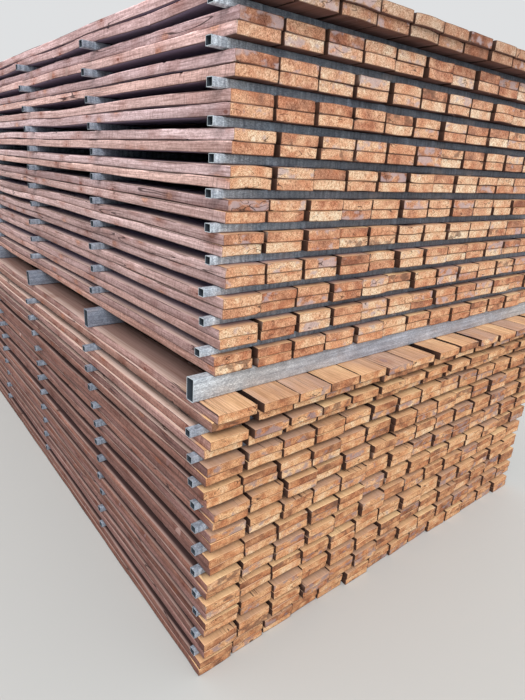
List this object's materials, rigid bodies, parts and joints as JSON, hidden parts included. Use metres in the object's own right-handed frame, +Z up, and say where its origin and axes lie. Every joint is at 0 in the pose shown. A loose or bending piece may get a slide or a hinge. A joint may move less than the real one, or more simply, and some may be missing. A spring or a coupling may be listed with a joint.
{
  "type": "stack of sawn lumber",
  "caption": "Kiln stack of long sawn boards, laid in layers on steel tube stickers and lifted into packs by rows of larger steel tube bearers.",
  "frame": {"origin": "on the ground, under the middle of the whole stack's box", "axes": "+Z up; +Y along the boards, away from the near ends that the picture shows; +X across the boards, to the right seen from the near ends"},
  "size_m": [2.4018, 5.6302, 2.284],
  "materials": {
    "sawn_wood": "rough sawn, heat darkened, unfinished",
    "sticker_steel": "galvanised, dulled",
    "bearer_steel": "galvanised, dulled"
  },
  "bodies": {
    "root": {"lower_pack_layer_01_bottom_boards": "sawn_wood", "lower_pack_layer_01_top_boards": "sawn_wood", "lower_pack_layer_02_bottom_boards": "sawn_wood", "lower_pack_layer_02_top_boards": "sawn_wood", "lower_pack_layer_03_bottom_boards": "sawn_wood", "lower_pack_layer_03_top_boards": "sawn_wood", "lower_pack_layer_04_bottom_boards": "sawn_wood", "lower_pack_layer_04_top_boards": "sawn_wood", "lower_pack_layer_05_bottom_boards": "sawn_wood", "lower_pack_layer_05_top_boards": "sawn_wood", "lower_pack_layer_06_bottom_boards": "sawn_wood", "lower_pack_layer_06_top_boards": "sawn_wood", "lower_pack_layer_07_bottom_boards": "sawn_wood", "lower_pack_layer_07_top_boards": "sawn_wood", "lower_pack_layer_08_bottom_boards": "sawn_wood", "lower_pack_layer_08_top_boards": "sawn_wood", "lower_pack_layer_09_bottom_boards": "sawn_wood", "lower_pack_layer_09_top_boards": "sawn_wood", "lower_pack_layer_10_bottom_boards": "sawn_wood", "lower_pack_layer_10_top_boards": "sawn_wood", "lower_pack_layer_11_bottom_boards": "sawn_wood", "lower_pack_layer_11_top_boards": "sawn_wood", "lower_pack_layer_12_bottom_boards": "sawn_wood", "lower_pack_layer_12_top_boards": "sawn_wood", "upper_pack_layer_01_bottom_boards": "sawn_wood", "upper_pack_layer_01_top_boards": "sawn_wood", "upper_pack_layer_02_bottom_boards": "sawn_wood", "upper_pack_layer_02_top_boards": "sawn_wood", "upper_pack_layer_03_bottom_boards": "sawn_wood", "upper_pack_layer_03_top_boards": "sawn_wood", "upper_pack_layer_04_bottom_boards": "sawn_wood", "upper_pack_layer_04_top_boards": "sawn_wood", "upper_pack_layer_05_bottom_boards": "sawn_wood", "upper_pack_layer_05_top_boards": "sawn_wood", "upper_pack_layer_06_bottom_boards": "sawn_wood", "upper_pack_layer_06_top_boards": "sawn_wood", "upper_pack_layer_07_bottom_boards": "sawn_wood", "upper_pack_layer_07_top_boards": "sawn_wood", "upper_pack_layer_08_bottom_boards": "sawn_wood", "upper_pack_layer_08_top_boards": "sawn_wood", "upper_pack_layer_09_bottom_boards": "sawn_wood", "upper_pack_layer_09_top_boards": "sawn_wood", "upper_pack_layer_10_bottom_boards": "sawn_wood", "upper_pack_layer_10_top_boards": "sawn_wood", "upper_pack_layer_11_bottom_boards": "sawn_wood", "upper_pack_layer_11_top_boards": "sawn_wood", "upper_pack_layer_12_bottom_boards": "sawn_wood", "upper_pack_layer_12_top_boards": "sawn_wood", "lower_pack_stickers": "sticker_steel", "upper_pack_stickers": "sticker_steel", "pack_bearers": "bearer_steel"}
  },
  "joints": []
}
